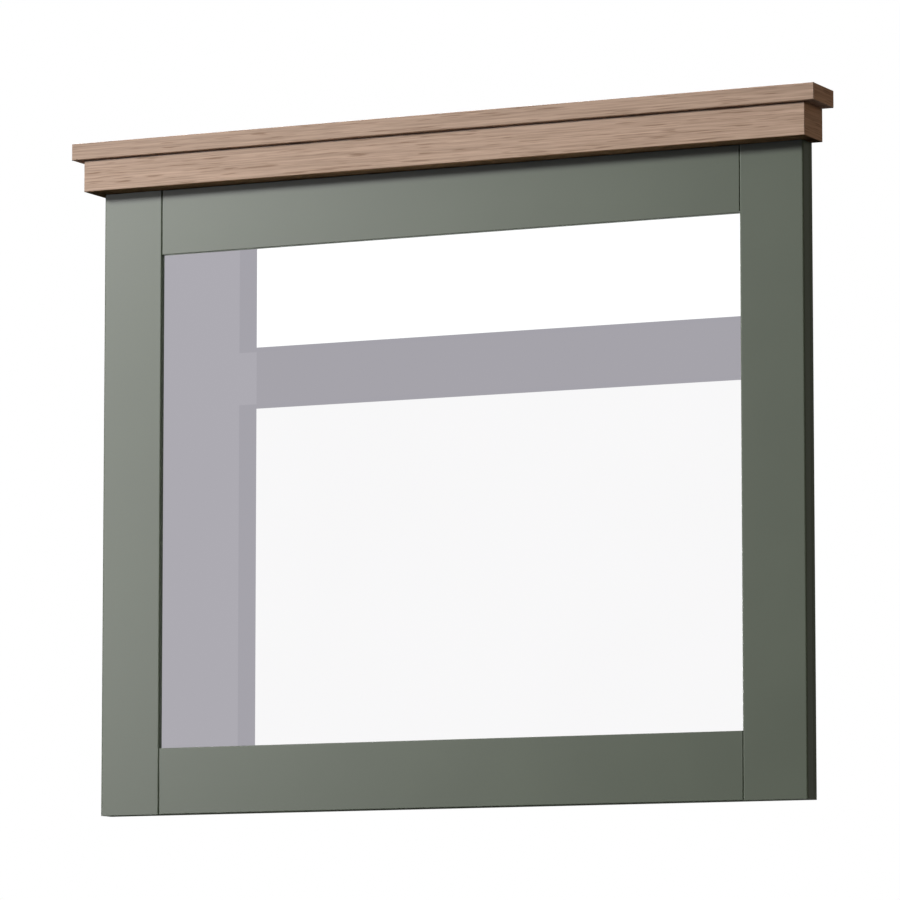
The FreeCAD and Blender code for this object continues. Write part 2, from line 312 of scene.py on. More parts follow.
@dataclass(frozen=True)
class Finish:
    """A finish that makes its material once and then hands it out."""

    name: str

    def material(self) -> bpy.types.Material:
        """Make the material, or find it.

        Returns:
            The finish's material.
        """
        made = bpy.data.materials.get(self.name)
        if made is None:
            made = bpy.data.materials.new(self.name)
            made.use_nodes = True
            self.dress(NodeSheet(made.node_tree))
        return made

    def dress(self, sheet: NodeSheet) -> None:
        """Fill the node sheet."""
        raise NotImplementedError


@dataclass(frozen=True)
class Lacquer(Finish):
    """Sprayed lacquer: even, with a faint cloud in its colour and a fine orange peel."""

    colour: Colour
    worn: Colour
    roughness: float
    peel: float
    gloss: float = 0.12
    cloud_cells: float = 7.0
    mist_cells: float = 900.0
    peel_cells: float = 520.0
    cloud_depth: float = 0.04
    rubbed_share: float = 0.6

    def dress(self, sheet: NodeSheet) -> None:
        """Fill the node sheet.

        Args:
            sheet: The empty sheet.
        """
        cloud = sheet.noise(sheet.place(self.cloud_cells))
        mist = sheet.noise(sheet.place(self.mist_cells), detail=1.0)
        peel = sheet.noise(sheet.place(self.peel_cells), detail=1.0)
        darker = tuple((1.0 - self.cloud_depth) * part for part in self.colour)
        paler = tuple((1.0 + self.cloud_depth) * part for part in self.colour)
        tone = sheet.mix(sheet.smooth(cloud * 0.8 + mist * 0.2, 0.3, 0.7), darker, paler)
        rubbed = sheet.attribute("arris") * sheet.smooth(mist, 0.25, 0.6)
        base = sheet.mix(rubbed * self.rubbed_share, tone, self.worn)
        rough = self.roughness + (cloud - 0.5) * 0.02 + (mist - 0.5) * 0.02
        sheet.surface(base, rough, peel, self.peel, Specular_IOR_Level=self.gloss)


@dataclass(frozen=True)
class Oak(Finish):
    """Printed oak: fine straight grain with paler and darker streaks and short pores."""

    grain: Grain
    dark: Colour = (0.300, 0.190, 0.123)
    pale: Colour = (0.565, 0.388, 0.283)
    pore: Colour = (0.215, 0.128, 0.080)
    # Share of each channel kept: the cap's own darker tone, and painted shade on end strips and downward
    # faces
    shade: Triple = (1.0, 1.0, 1.0)
    roughness: float = 0.52
    gloss: float = 0.116
    band_cells: Triple = (1.9, 90.0, 45.0)
    streak_cells: Triple = (5.0, 480.0, 300.0)
    fibre_cells: Triple = (24.0, 950.0, 700.0)
    dash_cells: Triple = (24.0, 700.0, 500.0)
    tone_span: Span = (0.23, 0.75)
    pore_span: Span = (0.60, 0.70)
    pore_share: float = 0.6
    grain_depth: float = 0.05 * MM

    def shaded(self, colour: Colour) -> Colour:
        """A colour at the tone of this board; on end strips and downward faces that tone is painted shade.
        """
        return tuple(share * part for share, part in zip(self.shade, colour))

    def stretched(self, sheet: NodeSheet, cells: Triple) -> Value:
        """Coordinates drawn out along the grain.

        Args:
            sheet: The material's node sheet.
            cells: Cells to the metre along the grain, up the board's face and through the board.

        Returns:
            The coordinates.
        """
        along, thick, deep = cells
        if self.grain is Grain.ACROSS:
            return sheet.place((along, deep, thick))
        return sheet.place((deep, along, thick))

    def dress(self, sheet: NodeSheet) -> None:
        """Fill the node sheet.

        Args:
            sheet: The empty sheet.
        """
        band = sheet.noise(self.stretched(sheet, self.band_cells), warp=0.4)
        streak = sheet.noise(self.stretched(sheet, self.streak_cells), roughness=0.6)
        fibre = sheet.noise(self.stretched(sheet, self.fibre_cells), roughness=0.6)
        dash = sheet.noise(self.stretched(sheet, self.dash_cells), detail=1.0)
        tone = sheet.smooth(band * 0.12 + streak * 0.48 + fibre * 0.40, *self.tone_span)
        wood = sheet.mix(tone, self.shaded(self.dark), self.shaded(self.pale))
        pores = sheet.smooth(dash, *self.pore_span)
        base = sheet.mix(pores * self.pore_share, wood, self.shaded(self.pore))
        rough = self.roughness + (fibre - 0.5) * 0.12 + pores * 0.15
        height = fibre * 0.5 + tone * 0.3 - pores * 0.5
        sheet.surface(base, rough, height, self.grain_depth, Specular_IOR_Level=self.gloss)


@dataclass(frozen=True)
class Chipboard(Finish):
    """Raw edge of a board: pressed flakes in several browns."""

    colours: tuple[Colour, Colour, Colour] = ((0.20, 0.12, 0.06), (0.44, 0.31, 0.18), (0.60, 0.47, 0.30))
    places: Triple = (0.25, 0.52, 0.78)
    flake_cells: Triple = (230.0, 230.0, 520.0)
    pick_cells: Triple = (300.0, 300.0, 640.0)
    depth: float = 0.3 * MM

    def dress(self, sheet: NodeSheet) -> None:
        """Fill the node sheet.

        Args:
            sheet: The empty sheet.
        """
        shade = sheet.cells(sheet.place(self.flake_cells))
        pick = sheet.noise(sheet.place(self.pick_cells))
        flakes = self.colours[0]
        for start, end, colour in zip(self.places, self.places[1:], self.colours[1:]):
            share = sheet.math("MULTIPLY", pick - start, 1.0 / (end - start), clamp=True)
            flakes = sheet.mix(share, flakes, colour)
        base = sheet.mix(sheet.smooth(shade, 0.45, 0.9) * 0.6, flakes, self.colours[0])
        sheet.surface(base, 0.85 - pick * 0.1, shade, self.depth)


@dataclass(frozen=True)
class SilveredGlass(Finish):
    """Flat mirror with hardly any haze."""

    tint: Colour = (0.925, 0.935, 0.935)
    haze_cells: float = 5.0
    dimmer_share: float = 0.994
    most_rough: float = 0.008

    def dress(self, sheet: NodeSheet) -> None:
        """Fill the node sheet.

        Args:
            sheet: The empty sheet.
        """
        haze = sheet.noise(sheet.place(self.haze_cells))
        dimmer = tuple(self.dimmer_share * part for part in self.tint)
        base = sheet.mix(sheet.smooth(haze, 0.3, 0.7), self.tint, dimmer)
        sheet.surface(base, sheet.smooth(haze, 0.4, 0.9) * self.most_rough, Metallic=1.0)


@dataclass(frozen=True)
class Hardboard(Finish):
    """Pressed brown fibre with a mottled, slightly hairy face."""

    dark: Colour = (0.165, 0.094, 0.047)
    pale: Colour = (0.335, 0.215, 0.122)
    mottle_cells: float = 75.0
    hair_cells: Triple = (330.0, 330.0, 1900.0)
    hair_turn: float = 35.0
    cross_turn: float = -50.0
    depth: float = 0.15 * MM

    def dress(self, sheet: NodeSheet) -> None:
        """Fill the node sheet.

        Args:
            sheet: The empty sheet.
        """
        mottle = sheet.noise(sheet.place(self.mottle_cells), detail=4.0, roughness=0.7)
        hairs = []
        for turn in (self.hair_turn, self.cross_turn):
            at = sheet.place(self.hair_cells, (0.0, turn, 0.0))
            hairs.append(sheet.noise(at, warp=0.3))
        fibre = sheet.math("MAXIMUM", *hairs)
        tone = sheet.smooth(mottle * 0.20 + fibre * 0.80, 0.36, 0.76)
        base = sheet.mix(tone, self.dark, self.pale)
        sheet.surface(base, 0.82 - tone * 0.14, fibre, self.depth)


@dataclass(frozen=True)
class Zinc(Finish):
    """Zinc-plated steel: bright, a little clouded, duller where it was handled."""

    bright: Colour = (0.66, 0.67, 0.69)
    dull: Colour = (0.47, 0.475, 0.48)
    cloud_cells: float = 120.0
    brush_cells: Triple = (2200.0, 2200.0, 160.0)
    brush_depth: float = 0.01 * MM

    def dress(self, sheet: NodeSheet) -> None:
        """Fill the node sheet.

        Args:
            sheet: The empty sheet.
        """
        cloud = sheet.noise(sheet.place(self.cloud_cells), detail=4.0, roughness=0.6)
        brush = sheet.noise(sheet.place(self.brush_cells), detail=1.0)
        base = sheet.mix(sheet.smooth(cloud, 0.35, 0.72), self.bright, self.dull)
        rough = 0.27 + sheet.smooth(cloud, 0.3, 0.8) * 0.16 + (brush - 0.5) * 0.08
        sheet.surface(base, rough, brush, self.brush_depth, Metallic=1.0)


@dataclass(frozen=True)
class Felt(Finish):
    """Pressed felt: tangled fibres in two greys."""

    dark: Colour = (0.055, 0.055, 0.053)
    pale: Colour = (0.150, 0.148, 0.142)
    tangle_cells: float = 1300.0
    clump_cells: float = 350.0
    depth: float = 0.25 * MM
    sheen: float = 0.25

    def dress(self, sheet: NodeSheet) -> None:
        """Fill the node sheet.

        Args:
            sheet: The empty sheet.
        """
        tangle = sheet.noise(sheet.place(self.tangle_cells), detail=3.0, roughness=0.7, warp=1.5)
        clump = sheet.noise(sheet.place(self.clump_cells))
        tone = sheet.smooth(tangle * 0.7 + clump * 0.3, 0.35, 0.68)
        base = sheet.mix(tone, self.dark, self.pale)
        sheet.surface(base, 0.97 - tone * 0.05, tangle, self.depth, Sheen_Weight=self.sheen)


@dataclass(frozen=True)
class Beech(Finish):
    """Plain beech with fine flecks."""

    dark: Colour = (0.46, 0.32, 0.19)
    pale: Colour = (0.70, 0.54, 0.36)
    fleck_cells: float = 420.0
    depth: float = 0.1 * MM

    def dress(self, sheet: NodeSheet) -> None:
        """Fill the node sheet.

        Args:
            sheet: The empty sheet.
        """
        fleck = sheet.noise(sheet.place(self.fleck_cells), detail=3.0, roughness=0.6)
        tone = sheet.smooth(fleck, 0.35, 0.65)
        base = sheet.mix(tone, self.dark, self.pale)
        sheet.surface(base, 0.7 - tone * 0.08, fleck, self.depth)


@dataclass(frozen=True)
class Cellular(Finish):
    """Foam or rubber: an even colour broken by cells."""

    dark: Colour
    pale: Colour
    cells: float
    depth: float

    def dress(self, sheet: NodeSheet) -> None:
        """Fill the node sheet.

        Args:
            sheet: The empty sheet.
        """
        pits = sheet.cells(sheet.place(self.cells))
        base = sheet.mix(sheet.smooth(pits, 0.1, 0.7), self.dark, self.pale)
        sheet.surface(base, 0.75 + pits * 0.15, pits, self.depth)


FRAME_LACQUER = Lacquer(
    "satin_lacquer", (0.0895, 0.1070, 0.0750), worn=(0.140, 0.158, 0.126), roughness=0.36, peel=0.003 * MM,
)
BATTEN_LACQUER = Lacquer(
    "matt_lacquer", (0.0870, 0.1040, 0.0725), worn=(0.135, 0.153, 0.121), roughness=0.48, peel=0.010 * MM,
)
FASCIA_OAK = Oak("fascia_oak", Grain.ACROSS)
# End strips of the fascia: the front oak darker and warmer, painted shade on the ends
FASCIA_END_PAINTED_SHADE_OAK = Oak("fascia_end_painted_shade_oak", Grain.DEEP, shade=(0.90, 0.79, 0.69))
# Underside of the fascia: the oak darkened and without gloss, painted shade
FASCIA_UNDER_PAINTED_SHADE_OAK = Oak("fascia_under_painted_shade_oak", Grain.ACROSS, shade=(0.82, 0.73, 0.60), gloss=0.0)
CAP_OAK = Oak("cap_oak", Grain.ACROSS, shade=(0.945, 0.945, 0.945))
# End strips of the cap: the front oak darker and warmer, painted shade on the ends
CAP_END_PAINTED_SHADE_OAK = Oak("cap_end_painted_shade_oak", Grain.DEEP, shade=(0.865, 0.745, 0.635))
# Underside of the cap: the oak a little darker and duller, painted shade
CAP_UNDER_PAINTED_SHADE_OAK = Oak("cap_under_painted_shade_oak", Grain.ACROSS, shade=(0.90, 0.88, 0.86), gloss=0.065)
RAW_EDGE = Chipboard("raw_board_edge")
SILVER = SilveredGlass("silvered_glass")
BACKING = Hardboard("brown_hardboard")
PLATED = Zinc("zinc_plate")
PAD_FELT = Felt("grey_felt")
DOWEL_WOOD = Beech("dowel_beech")
PANE_FOAM = Cellular("pane_foam", (0.42, 0.42, 0.42), (0.72, 0.72, 0.72), 900.0, 0.2 * MM)
BLOCK_RUBBER = Cellular("block_rubber", (0.018, 0.018, 0.018), (0.045, 0.045, 0.045), 1500.0, 0.05 * MM)


# Modelling

class Workpiece:
    """One piece while it is modelled, in place and in metres."""

    def __init__(self) -> None:
        """Start with an empty mesh that notes where its arrises are."""
        self.mesh = bmesh.new()
        self.arris = self.mesh.verts.layers.float.new("arris")

    def block(self, low: Vector, high: Vector) -> None:
        """Add a box from its lowest corner to its highest."""
        place = Matrix.Translation((low + high) / 2) @ Matrix.Diagonal((*(high - low), 1.0))
        bmesh.ops.create_cube(self.mesh, size=1.0, matrix=place)

    def copy_node(self, name: str) -> None:
        """Start from a copy of a CAD node with its triangles merged.

        Args:
            name: Name of the node.
        """
        self.mesh.from_mesh(frame["nodes"][name].data)
        layers = self.mesh.verts.layers.float
        self.arris = layers.get("arris") or layers.new("arris")
        bmesh.ops.remove_doubles(self.mesh, verts=self.mesh.verts, dist=MERGE)
        self.join_flats()

    def sheet(self, low: Vector, high: Vector) -> None:
        """Add an upright rectangle.

        Args:
            low: Its lowest corner, which gives its plane.
            high: A corner above and to the right of it.
        """
        size = high - low
        middle = Vector(((low.x + high.x) / 2, low.y, (low.z + high.z) / 2))
        place = Matrix.Translation(middle) @ UPRIGHT @ Matrix.Diagonal((size.x, size.z, 1.0, 1.0))
        bmesh.ops.create_grid(self.mesh, x_segments=1, y_segments=1, size=0.5, matrix=place)

    def cut(self, axis: Axis, value: float) -> None:
        """Cut every face along a plane.

        Args:
            axis: Axis that the plane is square to.
            value: Where the plane crosses it.
        """
        normal = Vector((0.0, 0.0, 0.0))
        normal[axis.value] = 1.0
        geometry = [*self.mesh.verts, *self.mesh.edges, *self.mesh.faces]
        bmesh.ops.bisect_plane(self.mesh, geom=geometry, plane_co=normal * value, plane_no=normal)

    def thicken(self, faces: Sequence[bmesh.types.BMFace], step: Vector) -> None:
        """Draw faces out into a solid.

        Args:
            faces: Faces that are drawn out.
            step: How far and which way.
        """
        edges = dict.fromkeys(edge for face in faces for edge in face.edges)
        made = bmesh.ops.extrude_face_region(self.mesh, geom=[*faces, *edges])
        corners = [item for item in made["geom"] if isinstance(item, bmesh.types.BMVert)]
        bmesh.ops.translate(self.mesh, verts=corners, vec=step)

    def join_flats(self) -> None:
        """Join the faces that lie in one plane."""
        bmesh.ops.dissolve_limit(
            self.mesh, angle_limit=FLAT, verts=self.mesh.verts, edges=self.mesh.edges,
        )

    def soften(self, wanted: EdgeTest, radius: float, segments: int) -> None:
        """Round edges.

        Args:
            wanted: Which edges are rounded.
            radius: Radius of the round.
            segments: Number of faces across it.
        """
        edges = [edge for edge in self.mesh.edges if wanted(edge)]
        rounded = bmesh.ops.bevel(
            self.mesh, geom=edges, offset=radius, offset_type="OFFSET", segments=segments,
            profile=0.5, affect="EDGES", clamp_overlap=True, material=-1,
        )
        faces = set(rounded["faces"])
        for corner in rounded["verts"]:
            if all(face in faces for face in corner.link_faces):
                corner[self.arris] = 1.0

    def to_scene(self, name: str, finishes: Sequence[Finish]) -> bpy.types.Object:
        """Make the mesh an object of the scene.

        Args:
            name: Name of the object.
            finishes: Finishes in the order of the faces' material numbers.

        Returns:
            The object.
        """
        mesh = bpy.data.meshes.new(name)
        self.mesh.to_mesh(mesh)
        self.mesh.free()
        for finish in finishes:
            mesh.materials.append(finish.material())
        made = bpy.data.objects.new(name, mesh)
        bpy.context.scene.collection.objects.link(made)
        return made

    def finish(self, name: str, finishes: Sequence[Finish], slot: str, nodes: Sequence[str],
               body: str = FIXED_BODY) -> bpy.types.Object:
        """Put the piece in the scene on its body, in place of the CAD nodes that it stands for.

        Args:
            name: Name of the piece.
            finishes: Finishes in the order of the faces' material numbers.
            slot: Slot of the record; not used.
            nodes: CAD nodes that it stands for.
            body: CAD body that it moves with.

        Returns:
            The piece.
        """
        bmesh.ops.recalc_face_normals(self.mesh, faces=self.mesh.faces)
        piece = self.to_scene(name, finishes)
        for face in piece.data.polygons:
            face.use_smooth = True
        piece.data.set_sharp_from_angle(angle=CREASE)
        evened = piece.modifiers.new("even_shading", "WEIGHTED_NORMAL")
        evened.keep_sharp = True
        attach(piece, body)
        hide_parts(*nodes)
        log.info("%s: %d faces, rides on %s", name, len(piece.data.polygons), body)
        return piece


def along_plane(axis: Axis, value: float) -> EdgeTest:
    """Test for edges that lie in the plane that is square to an axis at a value."""
    return lambda edge: all(abs(corner.co[axis.value] - value) < NEAR for corner in edge.verts)


def along_axis(axis: Axis) -> EdgeTest:
    """Test for edges that run along an axis.

    Args:
        axis: The axis.

    Returns:
        The test.
    """
    def runs(edge: bmesh.types.BMEdge) -> bool:
        """Whether an edge runs along the axis."""
        step = edge.verts[1].co - edge.verts[0].co
        return abs(step[axis.value]) > ALONG * step.length

    return runs


def dress_node(name: str, finish: Finish) -> None:
    """Give a CAD node that stays in view its finish.

    Args:
        name: Name of the node.
        finish: Its finish.
    """
    mesh = frame["nodes"][name].data
    mesh.materials.clear()
    mesh.materials.append(finish.material())
    log.info("%s: CAD node in %s", name, finish.name)


# Sub-assemblies

@dataclass
class PaintedFrame:
    """Two stiles and two rails, rebated at the back for the glass."""

    lip: float = 4.0 * MM
    pane_gap: float = 2.0 * MM
    stile_arris: float = 2.0 * MM
    rail_arris: float = 1.0 * MM
    end_arris: float = 0.3 * MM
    back_arris: float = 0.3 * MM
    stile_steps: int = 8
    rail_steps: int = 6
    fine_steps: int = 2

    def build(self) -> None:
        """Model every member."""
        for name in ("left_stile", "right_stile"):
            self.build_stile(name)
        for name in ("top_rail", "bottom_rail"):
            self.build_rail(name)
        dress_node("frame_dowels", DOWEL_WOOD)

    def build_stile(self, name: str) -> None:
        """Model a stile with its long front edges well rounded.

        Args:
            name: CAD node that it stands for.
        """
        low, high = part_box(name)
        work = self.rebated(low, high)
        in_front = along_plane(Axis.Y, low.y)
        upright = along_axis(Axis.Z)
        work.soften(lambda edge: in_front(edge) and upright(edge), self.stile_arris, self.stile_steps)
        for end in (low.z, high.z):
            work.soften(along_plane(Axis.Z, end), self.end_arris, self.fine_steps)
        work.soften(along_plane(Axis.Y, high.y), self.back_arris, self.fine_steps)
        work.finish(name + "_painted", [FRAME_LACQUER], "frame_paint", [name])

    def build_rail(self, name: str) -> None:
        """Model a rail with all its front edges rounded.

        Args:
            name: CAD node that it stands for.
        """
        low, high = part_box(name)
        work = self.rebated(low, high)
        work.soften(along_plane(Axis.Y, low.y), self.rail_arris, self.rail_steps)
        work.soften(along_plane(Axis.Y, high.y), self.back_arris, self.fine_steps)
        work.finish(name + "_painted", [FRAME_LACQUER], "frame_paint", [name])

    def rebated(self, low: Vector, high: Vector) -> Workpiece:
        """Model a member with square edges and the rebate along its inner side.

        Args:
            low: Lowest corner of the member.
            high: Highest corner of the member.

        Returns:
            The member, still to be softened and finished.
        """
        glass_low, glass_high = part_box("mirror_glass")
        gap = Vector((self.pane_gap, 0.0, self.pane_gap))
        rebate_low, rebate_high = glass_low - gap, glass_high + gap
        work = Workpiece()
        work.sheet(low, high)
        for axis in (Axis.X, Axis.Z):
            for edge in (rebate_low[axis.value], rebate_high[axis.value]):
                if low[axis.value] + NEAR < edge < high[axis.value] - NEAR:
                    work.cut(axis, edge)
        work.thicken(work.mesh.faces, Vector((0.0, self.lip, 0.0)))
        lip_back = low.y + self.lip
        outside = []
        for face in work.mesh.faces:
            middle = face.calc_center_median()
            in_x = rebate_low.x < middle.x < rebate_high.x
            in_z = rebate_low.z < middle.z < rebate_high.z
            if abs(middle.y - lip_back) < NEAR and not (in_x and in_z):
                outside.append(face)
        work.thicken(outside, Vector((0.0, high.y - lip_back, 0.0)))
        work.join_flats()
        return work


@dataclass
class RearBattens:
    """Battens behind the frame and the screws that hold them."""

    battens: tuple[str, ...] = ("left_batten", "right_batten", "top_batten", "bottom_batten")
    arris: float = 0.5 * MM
    arris_steps: int = 3

    def build(self) -> None:
        """Model the battens and dress their screws."""
        for name in self.battens:
            self.build_batten(name)
        dress_node("batten_screws", PLATED)

    def build_batten(self, name: str) -> None:
        """Model one batten with the outline of its back softened.

        Args:
            name: CAD node that it stands for.
        """
        low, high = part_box(name)
        on_back = along_plane(Axis.Y, high.y)
        sides = []
        for axis in (Axis.X, Axis.Z):
            sides += [along_plane(axis, corner[axis.value]) for corner in (low, high)]
        work = Workpiece()
        work.copy_node(name)
        work.soften(
            lambda edge: on_back(edge) and any(side(edge) for side in sides), self.arris, self.arris_steps,
        )
        work.finish(name + "_painted", [BATTEN_LACQUER], "batten_paint", [name])


@dataclass
class GlazedPane:
    """Glass, cushion and backing, which stand on blocks in the rebate."""

    glass_arris: float = 0.5 * MM
    backing_arris: float = 0.6 * MM
    foam_round: float = 0.9 * MM
    foam_fill: float = 1.0
    arris_steps: int = 3

    def build(self) -> None:
        """Model what stands in the rebate."""
        self.build_slab("mirror_glass", "silvered_pane", SILVER, "mirror", self.glass_arris)
        self.build_slab("backing_board", "backing_panel", BACKING, "backing", self.backing_arris)
        foam = self.build_slab("cushion_sheet", "cushion_foam", PANE_FOAM, "foam", self.foam_round)
        dress_node("setting_blocks", BLOCK_RUBBER)

    def build_slab(self, node: str, name: str, finish: Finish, slot: str,
                   arris: float) -> bpy.types.Object:
        """Model one slab with softened edges.

        Args:
            node: CAD node that it stands for.
            name: Name of the piece.
            finish: Its finish.
            slot: Slot of the record; not used.
            arris: Radius of its edges.

        Returns:
            The piece.
        """
        work = Workpiece()
        work.block(*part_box(node))
        work.soften(lambda edge: True, arris, self.arris_steps)
        return work.finish(name, [finish], slot, [node])


@dataclass
class CorniceStep:
    """One step of the cornice: a board faced with a strip in front and one at each end."""

    name: str
    arris: float
    face: Oak
    # Finish of the end strips: the face's oak darkened, painted shade
    end: Oak
    # Finish of the downward faces: the face's oak darkened, painted shade
    shaded_under: Oak
    arris_steps: int = 5
    back_arris: float = 0.3 * MM
    back_steps: int = 2

    def build(self) -> None:
        """Model the board and its three strips."""
        self.build_board()
        self.build_front_strip()
        for side in ("left", "right"):
            self.build_end_strip(side)

    def build_board(self) -> None:
        """Model the board, whose back edge is left raw."""
        node = self.name + "_board"
        low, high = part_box(node)
        work = self.softened(low, high, along_plane(Axis.Y, high.y), self.back_arris, self.back_steps)
        for face in work.mesh.faces:
            if face.normal.y > FACING:
                face.material_index = BoardFace.RAW.value
        work.finish(node + "_faced", [self.face, self.shaded_under, RAW_EDGE], "oak_laminate", [node])

    def build_front_strip(self) -> None:
        """Model the strip along the front."""
        node = self.name + "_front_edging"
        low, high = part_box(node)
        work = self.softened(low, high, along_plane(Axis.Y, low.y), self.arris, self.arris_steps)
        work.finish(node + "_strip", [self.face, self.shaded_under], "oak_edging", [node])

    def build_end_strip(self, side: str) -> None:
        """Model the strip at one end.

        Args:
            side: Which end.
        """
        node = f"{self.name}_{side}_edging"
        low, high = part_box(node)
        outer = low.x if side == "left" else high.x
        on_outer = along_plane(Axis.X, outer)
        on_front = along_plane(Axis.Y, low.y)
        work = self.softened(
            low, high, lambda edge: on_outer(edge) and not on_front(edge), self.arris, self.arris_steps,
        )
        work.finish(node + "_strip", [self.end, self.shaded_under], "oak_edging", [node])

    def softened(self, low: Vector, high: Vector, wanted: EdgeTest, radius: float,
                 segments: int) -> Workpiece:
        """Model a board or strip with some edges rounded and its underside marked for painted shade.

        Args:
            low: Its lowest corner.
            high: Its highest corner.
            wanted: Which edges are rounded.
            radius: Radius of the round.
            segments: Number of faces across it.

        Returns:
            The piece, still to be finished.
        """
        work = Workpiece()
        work.block(low, high)
        work.soften(wanted, radius, segments)
        for face in work.mesh.faces:
            # Downward faces take the darkened finish: painted shade
            part = BoardFace.SHADED_UNDER if face.normal.z < -FACING else BoardFace.FRONT
            face.material_index = part.value
        return work


@dataclass
class Cornice:
    """The fascia on the frame and the wider cap on the fascia."""

    steps: tuple[CorniceStep, ...] = (
        CorniceStep("fascia", 0.7 * MM, FASCIA_OAK, FASCIA_END_PAINTED_SHADE_OAK, FASCIA_UNDER_PAINTED_SHADE_OAK),
        CorniceStep("cap", 1.5 * MM, CAP_OAK, CAP_END_PAINTED_SHADE_OAK, CAP_UNDER_PAINTED_SHADE_OAK),
    )

    def build(self) -> None:
        """Model both steps."""
        for step in self.steps:
            step.build()
        dress_node("fascia_dowels", DOWEL_WOOD)
        dress_node("cap_dowels", DOWEL_WOOD)
        dress_node("fascia_screws", PLATED)


@dataclass
class Hangers:
    """Keyhole plates and their screws."""

    plates: tuple[str, ...] = ("left_hanger_plate", "right_hanger_plate")
    arris: float = 0.2 * MM
    arris_steps: int = 2

    def build(self) -> None:
        """Model the plates and dress their screws."""
        for name in self.plates:
            self.build_plate(name)
        dress_node("hanger_screws", PLATED)

    def build_plate(self, name: str) -> None:
        """Model one plate with the edges of its back softened.

        Args:
            name: CAD node that it stands for.
        """
        on_back = along_plane(Axis.Y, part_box(name)[1].y)
        work = Workpiece()
        work.copy_node(name)
        work.soften(
            lambda edge: on_back(edge) and edge.calc_face_angle(0.0) > SHARP, self.arris, self.arris_steps,
        )
        work.finish(name + "_stamped", [PLATED], "zinc", [name])


@dataclass
class TurnButtons:
    """Pressed buttons that swivel across the edge of the backing."""

    thickness: float = 1.6 * MM
    bend: float = 1.0 * MM
    hole_radius: float = 2.05 * MM
    arris: float = 0.3 * MM
    arris_steps: int = 2
    tail_steps: int = 16
    hole_steps: int = 24
    bend_steps: int = 6

    def build(self) -> None:
        """Model a button for every joint."""
        for joint in frame["joints"]:
            self.build_button(joint["child"], Vector(joint["pos_m"]))
        dress_node("turn_button_screws", PLATED)

    def build_button(self, node: str, pivot: Vector) -> None:
        """Model one button.

        Args:
            node: CAD node and body that it stands for.
            pivot: Point on the axis that it turns on.
        """
        low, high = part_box(node)
        size = high - low
        width = min(size.x, size.z)
        pointing = (low + high) / 2 - pivot
        turn = math.atan2(-pointing.z, pointing.x)
        reach = max(size.x, size.z) - width / 2
        work = Workpiece()
        self.press(work, width / 2, reach, size.y)
        place = Matrix.Translation((pivot.x, low.y, pivot.z)) @ Matrix.Rotation(turn, 4, "Y")
        bmesh.ops.transform(work.mesh, matrix=place, verts=work.mesh.verts)
        work.finish(node + "_pressed", [PLATED], "zinc", [node], node)

    def press(self, work: Workpiece, half: float, reach: float, height: float) -> None:
        """Form a button that lies along +X from its pivot at the origin.

        Args:
            work: Piece that it is formed in.
            half: Half its width.
            reach: How far its tip stands from the pivot.
            height: Height of the turned-up tip.
        """
        mesh = work.mesh
        backward = Vector((0.0, 1.0, 0.0))
        outer = self.bend + self.thickness
        bend_x = reach - outer
        start = mesh.verts.new((0.0, 0.0, half))
        bmesh.ops.spin(
            mesh, geom=[start], cent=Vector(), axis=backward, dvec=Vector(), angle=-math.pi,
            steps=self.tail_steps, use_merge=False,
        )
        mesh.verts.ensure_lookup_table()
        end = mesh.verts[-1]
        corners = [mesh.verts.new((bend_x, 0.0, end.co.z)), mesh.verts.new((bend_x, 0.0, half))]
        for first, second in zip((end, *corners), (*corners, start)):
            mesh.edges.new((first, second))
        bmesh.ops.create_circle(
            mesh, cap_ends=False, segments=self.hole_steps, radius=self.hole_radius, matrix=UPRIGHT,
        )
        bmesh.ops.triangle_fill(mesh, edges=mesh.edges, use_beauty=True)
        work.thicken(mesh.faces, backward * self.thickness)
        bmesh.ops.recalc_face_normals(mesh, faces=mesh.faces)
        tip = [face for face in mesh.faces if abs(face.calc_center_median().x - bend_x) < NEAR]
        rim = dict.fromkeys(edge for face in tip for edge in face.edges)
        bent = bmesh.ops.spin(
            mesh, geom=[*tip, *rim], cent=Vector((bend_x, outer, 0.0)), axis=Vector((0.0, 0.0, 1.0)),
            dvec=Vector(), angle=math.radians(90.0), steps=self.bend_steps, use_merge=False,
        )
        ends = [item for item in bent["geom_last"] if isinstance(item, bmesh.types.BMFace)]
        work.thicken(ends, backward * (height - outer))
        work.join_flats()
        work.soften(lambda edge: edge.calc_face_angle(0.0) > SHARP, self.arris, self.arris_steps)


@dataclass
class WallPads:
    """Felt discs that keep the back off the wall."""

    radius: float = 8.0 * MM
    rim: float = 0.6 * MM
    rim_steps: int = 4
    round_steps: int = 40
    middle_inset: float = 2.0 * MM
    fill: float = 1.0

    def build(self) -> None:
        """Model the four discs as one piece."""
        low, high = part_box("wall_pads")
        thickness = high.y - low.y
        work = Workpiece()
        for x in (low.x + self.radius, high.x - self.radius):
            for z in (low.z + self.radius, high.z - self.radius):
                place = Matrix.Translation((x, low.y, z)) @ UPRIGHT
                made = bmesh.ops.create_circle(
                    work.mesh, cap_ends=True, segments=self.round_steps, radius=self.radius, matrix=place,
                )
                faces = {face for corner in made["verts"] for face in corner.link_faces}
                work.thicken(list(faces), Vector((0.0, thickness, 0.0)))
        work.soften(along_plane(Axis.Y, high.y), self.rim, self.rim_steps)
        tops = [face for face in work.mesh.faces if len(face.verts) > 4]
        bmesh.ops.inset_individual(work.mesh, faces=tops, thickness=self.middle_inset, depth=0.0)
        pads = work.finish("wall_pad_felts", [PAD_FELT], "felt", ["wall_pads"])


# Studio

